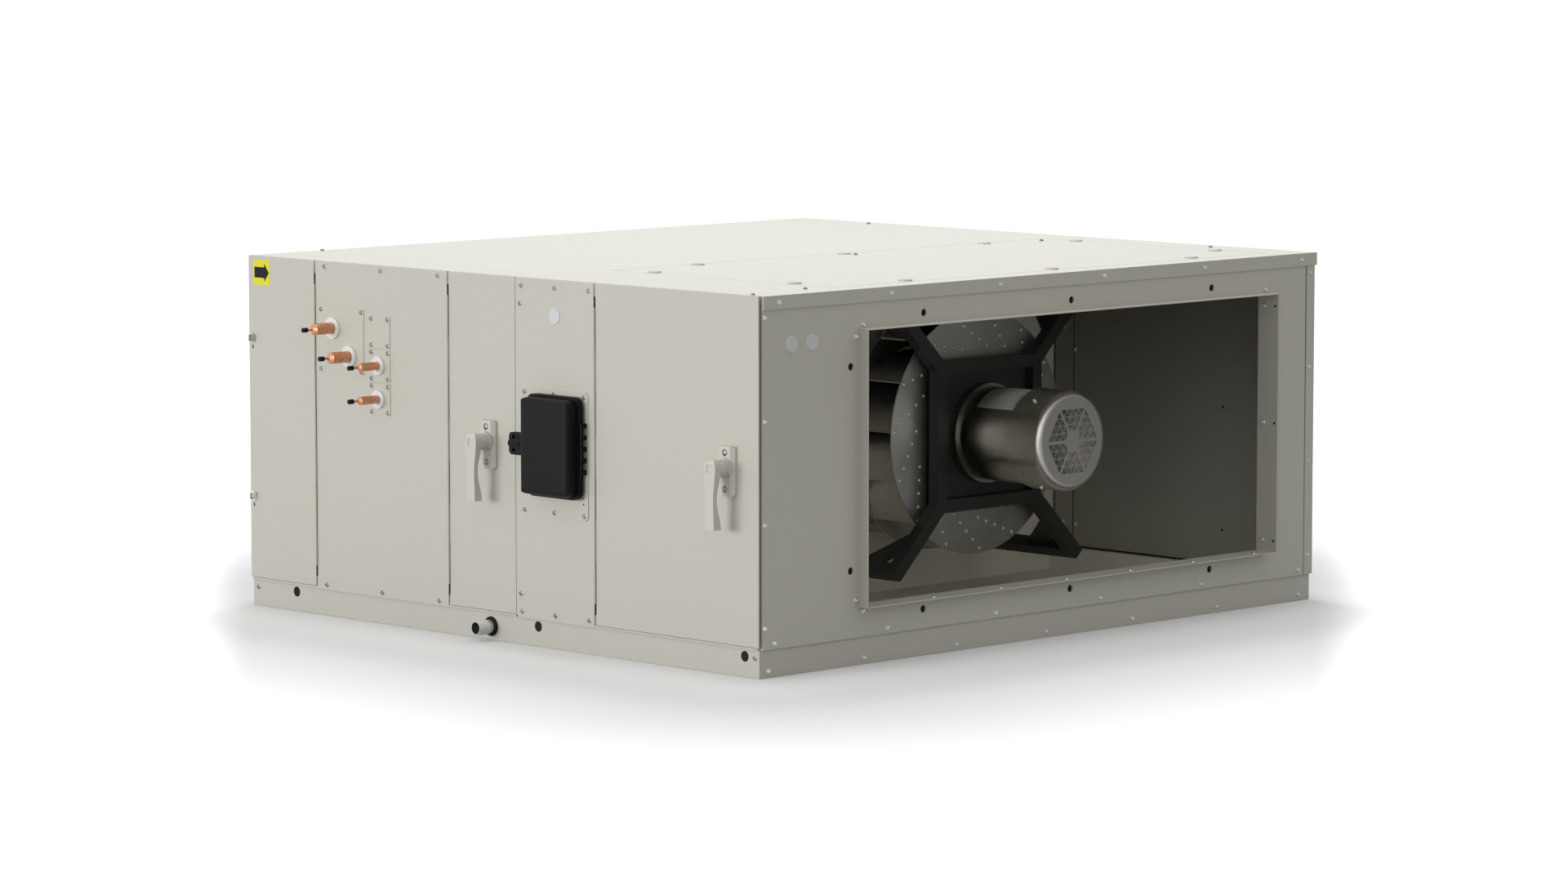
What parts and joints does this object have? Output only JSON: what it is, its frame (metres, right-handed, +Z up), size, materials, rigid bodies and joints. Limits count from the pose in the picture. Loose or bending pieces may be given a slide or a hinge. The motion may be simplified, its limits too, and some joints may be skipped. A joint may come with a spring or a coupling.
{
  "type": "horizontal air handling unit",
  "caption": "Low sheet-metal air handling cabinet with hinged access doors, refrigerant stubs on the front and a plenum fan behind an open duct collar at its discharge end.",
  "frame": {"origin": "centre of the footprint, on the floor under the base pan", "axes": "+X along the airflow towards the discharge end, +Y away from the access side, +Z up"},
  "size_m": [1.466, 1.6142, 0.686],
  "materials": {
    "cabinet_paint": "satin powder coat, warm light grey",
    "handle_paint": "satin enamel on a casting",
    "galvanised": "zinc-coated sheet",
    "wheel_steel": "plain sheet, brushed",
    "motor_steel": "polished steel shell",
    "pipe_steel": "zinc-plated pipe",
    "frame_black": "satin black paint",
    "switch_black": "textured moulding",
    "copper": "drawn copper tube",
    "ring_white": "foam sealing ring",
    "plug_grey": "moulded plug",
    "filter_media": "pleated media in a card frame"
  },
  "bodies": {
    "cabinet": {"base_rails": "cabinet_paint", "base_pan": "cabinet_paint", "roof": "cabinet_paint", "roof_cover": "cabinet_paint", "far_panels": "cabinet_paint", "discharge_panel": "cabinet_paint", "discharge_collar": "cabinet_paint", "inlet_panel": "cabinet_paint", "front_posts": "cabinet_paint", "front_header": "cabinet_paint", "door_hinges": "cabinet_paint", "coil_panel": "cabinet_paint", "disconnect_panel": "cabinet_paint", "pipe_plates": "cabinet_paint", "control_box": "cabinet_paint", "fan_wall": "cabinet_paint", "disconnect_plate": "cabinet_paint", "drain_pan": "galvanised", "cooling_coil": "galvanised", "filter_tracks": "galvanised", "inlet_cone": "galvanised", "motor": "motor_steel", "motor_cowl": "motor_steel", "drain_stub": "pipe_steel", "motor_frame": "frame_black", "motor_supports": "frame_black", "disconnect_switch": "switch_black", "stub_caps": "switch_black", "refrigerant_stubs": "copper", "pipe_rings": "ring_white", "hole_plugs": "plug_grey", "filters": "filter_media"},
    "fan_wheel": {"fan_back_plate": "wheel_steel", "fan_blades": "wheel_steel", "fan_shroud": "wheel_steel", "fan_hub": "wheel_steel"},
    "fan_door": {"fan_door": "cabinet_paint", "fan_handle_plate": "handle_paint"},
    "fan_handle": {"fan_handle": "handle_paint"},
    "control_door": {"control_door": "cabinet_paint", "control_handle_plate": "handle_paint"},
    "control_handle": {"control_handle": "handle_paint"},
    "filter_door": {"filter_door": "cabinet_paint", "filter_latches": "galvanised"},
    "disconnect_cover": {"disconnect_cover": "switch_black"}
  },
  "joints": [
    {"name": "wheel_spin", "type": "hinge", "parent": "cabinet", "child": "fan_wheel", "pos_m": [0.296, 0.238, 0.341], "axis": [1, 0, 0], "continuous": true},
    {"name": "fan_door_swing", "type": "hinge", "parent": "cabinet", "child": "fan_door", "pos_m": [0.28, -0.769, 0.36], "axis": [0, 0, -1], "range_deg": [0, 90]},
    {"name": "fan_handle_turn", "type": "hinge", "parent": "fan_door", "child": "fan_handle", "pos_m": [0.632, -0.767, 0.376], "axis": [0, 1, 0], "range_deg": [0, 90]},
    {"name": "control_door_swing", "type": "hinge", "parent": "cabinet", "child": "control_door", "pos_m": [-0.123, -0.769, 0.36], "axis": [0, 0, -1], "range_deg": [0, 90]},
    {"name": "control_handle_turn", "type": "hinge", "parent": "control_door", "child": "control_handle", "pos_m": [-0.0055, -0.767, 0.376], "axis": [0, 1, 0], "range_deg": [0, 90]},
    {"name": "filter_door_swing", "type": "hinge", "parent": "cabinet", "child": "filter_door", "pos_m": [-0.508, -0.769, 0.36], "axis": [0, 0, 1], "range_deg": [0, 90]},
    {"name": "disconnect_cover_swing", "type": "hinge", "parent": "cabinet", "child": "disconnect_cover", "pos_m": [0.259, -0.782, 0.38], "axis": [0, 0, -1], "range_deg": [-100, 0]}
  ]
}
